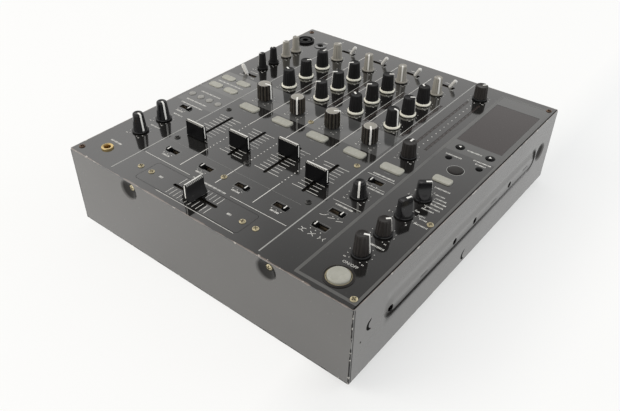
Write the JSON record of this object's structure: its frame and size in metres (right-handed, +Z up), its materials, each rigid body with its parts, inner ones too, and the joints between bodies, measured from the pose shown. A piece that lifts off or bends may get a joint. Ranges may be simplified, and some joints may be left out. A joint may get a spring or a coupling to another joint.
{
  "type": "dj mixer",
  "caption": "Table-top DJ mixer: folded steel case, control panel with channel strips of knobs and faders, crossfader, toggle switches, effect section, sockets at the front and rear.",
  "frame": {"origin": "on the table, under the middle of the overall box (the feet stand on Z = 0)", "axes": "+X to the right across the panel, +Y from the front edge to the rear connectors, +Z up"},
  "size_m": [0.323, 0.3686, 0.1077],
  "materials": {
    "case_paint": "worn matt charcoal paint on steel sheet",
    "panel_paint": "dark semi-gloss paint, printed marks",
    "feet_rubber": "black rubber",
    "screw_metal": "yellow zinc-plated steel",
    "board": "green circuit board",
    "switch_metal": "plated cases of the controls",
    "jack_plastic": "black sockets with plated rings",
    "rear_socket": "black sockets",
    "window": "smoked clear plastic",
    "knob_black": "matt black moulded plastic",
    "knob_grey": "warm grey moulded plastic",
    "colour_cap": "black grip with a pale top",
    "fader_black": "black caps with a white line",
    "toggle_metal": "plated bat levers",
    "button_clear": "smoked translucent caps",
    "button_grey": "grey keys",
    "lever_black": "black switch levers",
    "rocker_black": "black rocker"
  },
  "bodies": {
    "case": {"chassis_tray": "case_paint", "top_panel": "panel_paint", "rear_panel": "case_paint", "crossfader_plate": "panel_paint", "rubber_feet": "feet_rubber", "screws": "screw_metal", "circuit_boards": "board", "control_bodies": "switch_metal", "panel_jacks": "jack_plastic", "rear_connectors": "rear_socket", "display_windows": "window"},
    "balance_knob": {"balance_knob": "knob_black"},
    "booth_level_knob": {"booth_level_knob": "knob_black"},
    "channel_fader_1": {"channel_fader_1": "fader_black"},
    "channel_fader_2": {"channel_fader_2": "fader_black"},
    "channel_fader_3": {"channel_fader_3": "fader_black"},
    "channel_fader_4": {"channel_fader_4": "fader_black"},
    "colour_knob_1": {"colour_knob_1": "colour_cap"},
    "colour_knob_2": {"colour_knob_2": "colour_cap"},
    "colour_knob_3": {"colour_knob_3": "colour_cap"},
    "colour_knob_4": {"colour_knob_4": "colour_cap"},
    "crossfader": {"crossfader": "fader_black"},
    "effect_channel_selector": {"effect_channel_selector": "knob_black"},
    "effect_depth_knob": {"effect_depth_knob": "knob_black"},
    "effect_selector": {"effect_selector": "knob_black"},
    "effect_time_knob": {"effect_time_knob": "knob_black"},
    "headphone_level_knob": {"headphone_level_knob": "knob_black"},
    "headphone_mix_knob": {"headphone_mix_knob": "knob_black"},
    "high_knob_1": {"high_knob_1": "knob_black"},
    "high_knob_2": {"high_knob_2": "knob_black"},
    "high_knob_3": {"high_knob_3": "knob_black"},
    "high_knob_4": {"high_knob_4": "knob_black"},
    "input_switch_1": {"input_switch_1": "toggle_metal"},
    "input_switch_2": {"input_switch_2": "toggle_metal"},
    "input_switch_3": {"input_switch_3": "toggle_metal"},
    "input_switch_4": {"input_switch_4": "toggle_metal"},
    "lit_buttons": {"lit_buttons": "button_clear"},
    "low_knob_1": {"low_knob_1": "knob_black"},
    "low_knob_2": {"low_knob_2": "knob_black"},
    "low_knob_3": {"low_knob_3": "knob_black"},
    "low_knob_4": {"low_knob_4": "knob_black"},
    "master_level_knob": {"master_level_knob": "knob_black"},
    "mic_1_level_knob": {"mic_1_level_knob": "knob_grey"},
    "mic_2_level_knob": {"mic_2_level_knob": "knob_grey"},
    "mic_high_knob": {"mic_high_knob": "knob_black"},
    "mic_low_knob": {"mic_low_knob": "knob_black"},
    "mic_switch": {"mic_switch": "toggle_metal"},
    "middle_knob_1": {"middle_knob_1": "knob_black"},
    "middle_knob_2": {"middle_knob_2": "knob_black"},
    "middle_knob_3": {"middle_knob_3": "knob_black"},
    "middle_knob_4": {"middle_knob_4": "knob_black"},
    "on_off_button": {"on_off_button": "button_clear"},
    "power_rocker": {"power_rocker": "rocker_black"},
    "small_buttons": {"small_buttons": "button_grey"},
    "switch_levers_left": {"switch_levers_left": "lever_black"},
    "switch_levers_right": {"switch_levers_right": "lever_black"},
    "trim_knob_1": {"trim_knob_1": "knob_grey"},
    "trim_knob_2": {"trim_knob_2": "knob_grey"},
    "trim_knob_3": {"trim_knob_3": "knob_grey"},
    "trim_knob_4": {"trim_knob_4": "knob_grey"}
  },
  "joints": [
    {"name": "trim_knob_1_turn", "type": "hinge", "parent": "case", "child": "trim_knob_1", "pos_m": [-0.08375, 0.1229, 0.0877], "axis": [0, 0, 1], "range_deg": [-115, 185]},
    {"name": "trim_knob_2_turn", "type": "hinge", "parent": "case", "child": "trim_knob_2", "pos_m": [-0.04025, 0.1229, 0.0877], "axis": [0, 0, 1], "range_deg": [0, 300]},
    {"name": "trim_knob_3_turn", "type": "hinge", "parent": "case", "child": "trim_knob_3", "pos_m": [0.00325, 0.1229, 0.0877], "axis": [0, 0, 1], "range_deg": [0, 300]},
    {"name": "trim_knob_4_turn", "type": "hinge", "parent": "case", "child": "trim_knob_4", "pos_m": [0.04675, 0.1229, 0.0877], "axis": [0, 0, 1], "range_deg": [-20, 280]},
    {"name": "high_knob_1_turn", "type": "hinge", "parent": "case", "child": "high_knob_1", "pos_m": [-0.08375, 0.095, 0.0877], "axis": [0, 0, 1], "range_deg": [-140, 160]},
    {"name": "high_knob_2_turn", "type": "hinge", "parent": "case", "child": "high_knob_2", "pos_m": [-0.04025, 0.095, 0.0877], "axis": [0, 0, 1], "range_deg": [-286, 14]},
    {"name": "high_knob_3_turn", "type": "hinge", "parent": "case", "child": "high_knob_3", "pos_m": [0.00325, 0.095, 0.0877], "axis": [0, 0, 1], "range_deg": [-96, 204]},
    {"name": "high_knob_4_turn", "type": "hinge", "parent": "case", "child": "high_knob_4", "pos_m": [0.04675, 0.095, 0.0877], "axis": [0, 0, 1], "range_deg": [-200, 100]},
    {"name": "middle_knob_1_turn", "type": "hinge", "parent": "case", "child": "middle_knob_1", "pos_m": [-0.08375, 0.0661, 0.0877], "axis": [0, 0, 1], "range_deg": [-110, 190]},
    {"name": "middle_knob_2_turn", "type": "hinge", "parent": "case", "child": "middle_knob_2", "pos_m": [-0.04025, 0.0661, 0.0877], "axis": [0, 0, 1], "range_deg": [-282, 18]},
    {"name": "middle_knob_3_turn", "type": "hinge", "parent": "case", "child": "middle_knob_3", "pos_m": [0.00325, 0.0661, 0.0877], "axis": [0, 0, 1], "range_deg": [-282, 18]},
    {"name": "middle_knob_4_turn", "type": "hinge", "parent": "case", "child": "middle_knob_4", "pos_m": [0.04675, 0.0661, 0.0877], "axis": [0, 0, 1], "range_deg": [-95, 205]},
    {"name": "low_knob_1_turn", "type": "hinge", "parent": "case", "child": "low_knob_1", "pos_m": [-0.08375, 0.0372, 0.0877], "axis": [0, 0, 1], "range_deg": [-214, 86]},
    {"name": "low_knob_2_turn", "type": "hinge", "parent": "case", "child": "low_knob_2", "pos_m": [-0.04025, 0.0372, 0.0877], "axis": [0, 0, 1], "range_deg": [-282, 18]},
    {"name": "low_knob_3_turn", "type": "hinge", "parent": "case", "child": "low_knob_3", "pos_m": [0.00325, 0.0372, 0.0877], "axis": [0, 0, 1], "range_deg": [-206, 94]},
    {"name": "low_knob_4_turn", "type": "hinge", "parent": "case", "child": "low_knob_4", "pos_m": [0.04675, 0.0372, 0.0877], "axis": [0, 0, 1], "range_deg": [-50, 250]},
    {"name": "colour_knob_1_turn", "type": "hinge", "parent": "case", "child": "colour_knob_1", "pos_m": [-0.08375, -0.0015, 0.0877], "axis": [0, 0, 1], "range_deg": [-66, 234]},
    {"name": "colour_knob_2_turn", "type": "hinge", "parent": "case", "child": "colour_knob_2", "pos_m": [-0.04025, -0.0015, 0.0877], "axis": [0, 0, 1], "range_deg": [-5, 295]},
    {"name": "colour_knob_3_turn", "type": "hinge", "parent": "case", "child": "colour_knob_3", "pos_m": [0.00325, -0.0015, 0.0877], "axis": [0, 0, 1], "range_deg": [-93, 207]},
    {"name": "colour_knob_4_turn", "type": "hinge", "parent": "case", "child": "colour_knob_4", "pos_m": [0.04675, -0.0015, 0.0877], "axis": [0, 0, 1], "range_deg": [-8, 292]},
    {"name": "headphone_level_knob_turn", "type": "hinge", "parent": "case", "child": "headphone_level_knob", "pos_m": [-0.134, -0.1236, 0.0877], "axis": [0, 0, 1], "range_deg": [-50, 250]},
    {"name": "headphone_mix_knob_turn", "type": "hinge", "parent": "case", "child": "headphone_mix_knob", "pos_m": [-0.134, -0.0945, 0.0877], "axis": [0, 0, 1], "range_deg": [-42, 258]},
    {"name": "mic_low_knob_turn", "type": "hinge", "parent": "case", "child": "mic_low_knob", "pos_m": [-0.134, 0.0507, 0.0877], "axis": [0, 0, 1], "range_deg": [-280, 20]},
    {"name": "mic_high_knob_turn", "type": "hinge", "parent": "case", "child": "mic_high_knob", "pos_m": [-0.134, 0.0693, 0.0877], "axis": [0, 0, 1], "range_deg": [-210, 90]},
    {"name": "mic_2_level_knob_turn", "type": "hinge", "parent": "case", "child": "mic_2_level_knob", "pos_m": [-0.134, 0.0915, 0.0877], "axis": [0, 0, 1], "range_deg": [-280, 20]},
    {"name": "mic_1_level_knob_turn", "type": "hinge", "parent": "case", "child": "mic_1_level_knob", "pos_m": [-0.134, 0.1092, 0.0877], "axis": [0, 0, 1], "range_deg": [-150, 150]},
    {"name": "booth_level_knob_turn", "type": "hinge", "parent": "case", "child": "booth_level_knob", "pos_m": [0.08725, -0.0755, 0.0877], "axis": [0, 0, 1], "range_deg": [0, 300]},
    {"name": "balance_knob_turn", "type": "hinge", "parent": "case", "child": "balance_knob", "pos_m": [0.08725, 0.0022, 0.0877], "axis": [0, 0, 1], "range_deg": [-150, 150]},
    {"name": "master_level_knob_turn", "type": "hinge", "parent": "case", "child": "master_level_knob", "pos_m": [0.08725, 0.1425, 0.0877], "axis": [0, 0, 1], "range_deg": [-115, 185]},
    {"name": "effect_depth_knob_turn", "type": "hinge", "parent": "case", "child": "effect_depth_knob", "pos_m": [0.1304, -0.1337, 0.0877], "axis": [0, 0, 1], "range_deg": [-82, 218]},
    {"name": "effect_time_knob_turn", "type": "hinge", "parent": "case", "child": "effect_time_knob", "pos_m": [0.1304, -0.1039, 0.0877], "axis": [0, 0, 1], "range_deg": [-105, 195]},
    {"name": "effect_channel_selector_turn", "type": "hinge", "parent": "case", "child": "effect_channel_selector", "pos_m": [0.1304, -0.0741, 0.0877], "axis": [0, 0, 1], "range_deg": [-128, 172]},
    {"name": "effect_selector_turn", "type": "hinge", "parent": "case", "child": "effect_selector", "pos_m": [0.1304, -0.0443, 0.0877], "axis": [0, 0, 1], "range_deg": [-100, 200]},
    {"name": "channel_fader_1_slide", "type": "slide", "parent": "case", "child": "channel_fader_1", "axis": [0, 1, 0], "range_m": [0, 0.045]},
    {"name": "channel_fader_2_slide", "type": "slide", "parent": "case", "child": "channel_fader_2", "axis": [0, 1, 0], "range_m": [-0.0125, 0.0325]},
    {"name": "channel_fader_3_slide", "type": "slide", "parent": "case", "child": "channel_fader_3", "axis": [0, 1, 0], "range_m": [-0.0313, 0.0137]},
    {"name": "channel_fader_4_slide", "type": "slide", "parent": "case", "child": "channel_fader_4", "axis": [0, 1, 0], "range_m": [-0.0166, 0.0284]},
    {"name": "crossfader_slide", "type": "slide", "parent": "case", "child": "crossfader", "axis": [1, 0, 0], "range_m": [-0.0225, 0.0225]},
    {"name": "input_switch_1_swing", "type": "hinge", "parent": "case", "child": "input_switch_1", "pos_m": [-0.08375, 0.1452, 0.0812], "axis": [0, 1, 0], "range_deg": [-63, 0]},
    {"name": "input_switch_2_swing", "type": "hinge", "parent": "case", "child": "input_switch_2", "pos_m": [-0.04025, 0.1452, 0.0812], "axis": [0, 1, 0], "range_deg": [-63, 0]},
    {"name": "input_switch_3_swing", "type": "hinge", "parent": "case", "child": "input_switch_3", "pos_m": [0.00325, 0.1452, 0.0812], "axis": [0, 1, 0], "range_deg": [-63, 0]},
    {"name": "input_switch_4_swing", "type": "hinge", "parent": "case", "child": "input_switch_4", "pos_m": [0.04675, 0.1452, 0.0812], "axis": [0, 1, 0], "range_deg": [-63, 0]},
    {"name": "mic_switch_swing", "type": "hinge", "parent": "case", "child": "mic_switch", "pos_m": [-0.134, 0.0295, 0.0812], "axis": [0, 1, 0], "range_deg": [0, 63]},
    {"name": "on_off_button_press", "type": "slide", "parent": "case", "child": "on_off_button", "axis": [0, 0, -1], "range_m": [0, 0.0012], "stiffness_N_per_m": 1500, "springref_m": -0.0005},
    {"name": "lit_buttons_press", "type": "slide", "parent": "case", "child": "lit_buttons", "axis": [0, 0, -1], "range_m": [0, 0.0008], "stiffness_N_per_m": 1500, "springref_m": -0.0005},
    {"name": "small_buttons_press", "type": "slide", "parent": "case", "child": "small_buttons", "axis": [0, 0, -1], "range_m": [0, 0.0008], "stiffness_N_per_m": 1500, "springref_m": -0.0005},
    {"name": "switch_levers_left_slide", "type": "slide", "parent": "case", "child": "switch_levers_left", "axis": [1, 0, 0], "range_m": [0, 0.009]},
    {"name": "switch_levers_right_slide", "type": "slide", "parent": "case", "child": "switch_levers_right", "axis": [1, 0, 0], "range_m": [-0.009, 0]},
    {"name": "power_rocker_tip", "type": "hinge", "parent": "case", "child": "power_rocker", "pos_m": [0.124, 0.1717, 0.071], "axis": [1, 0, 0], "range_deg": [-16, 0]}
  ]
}
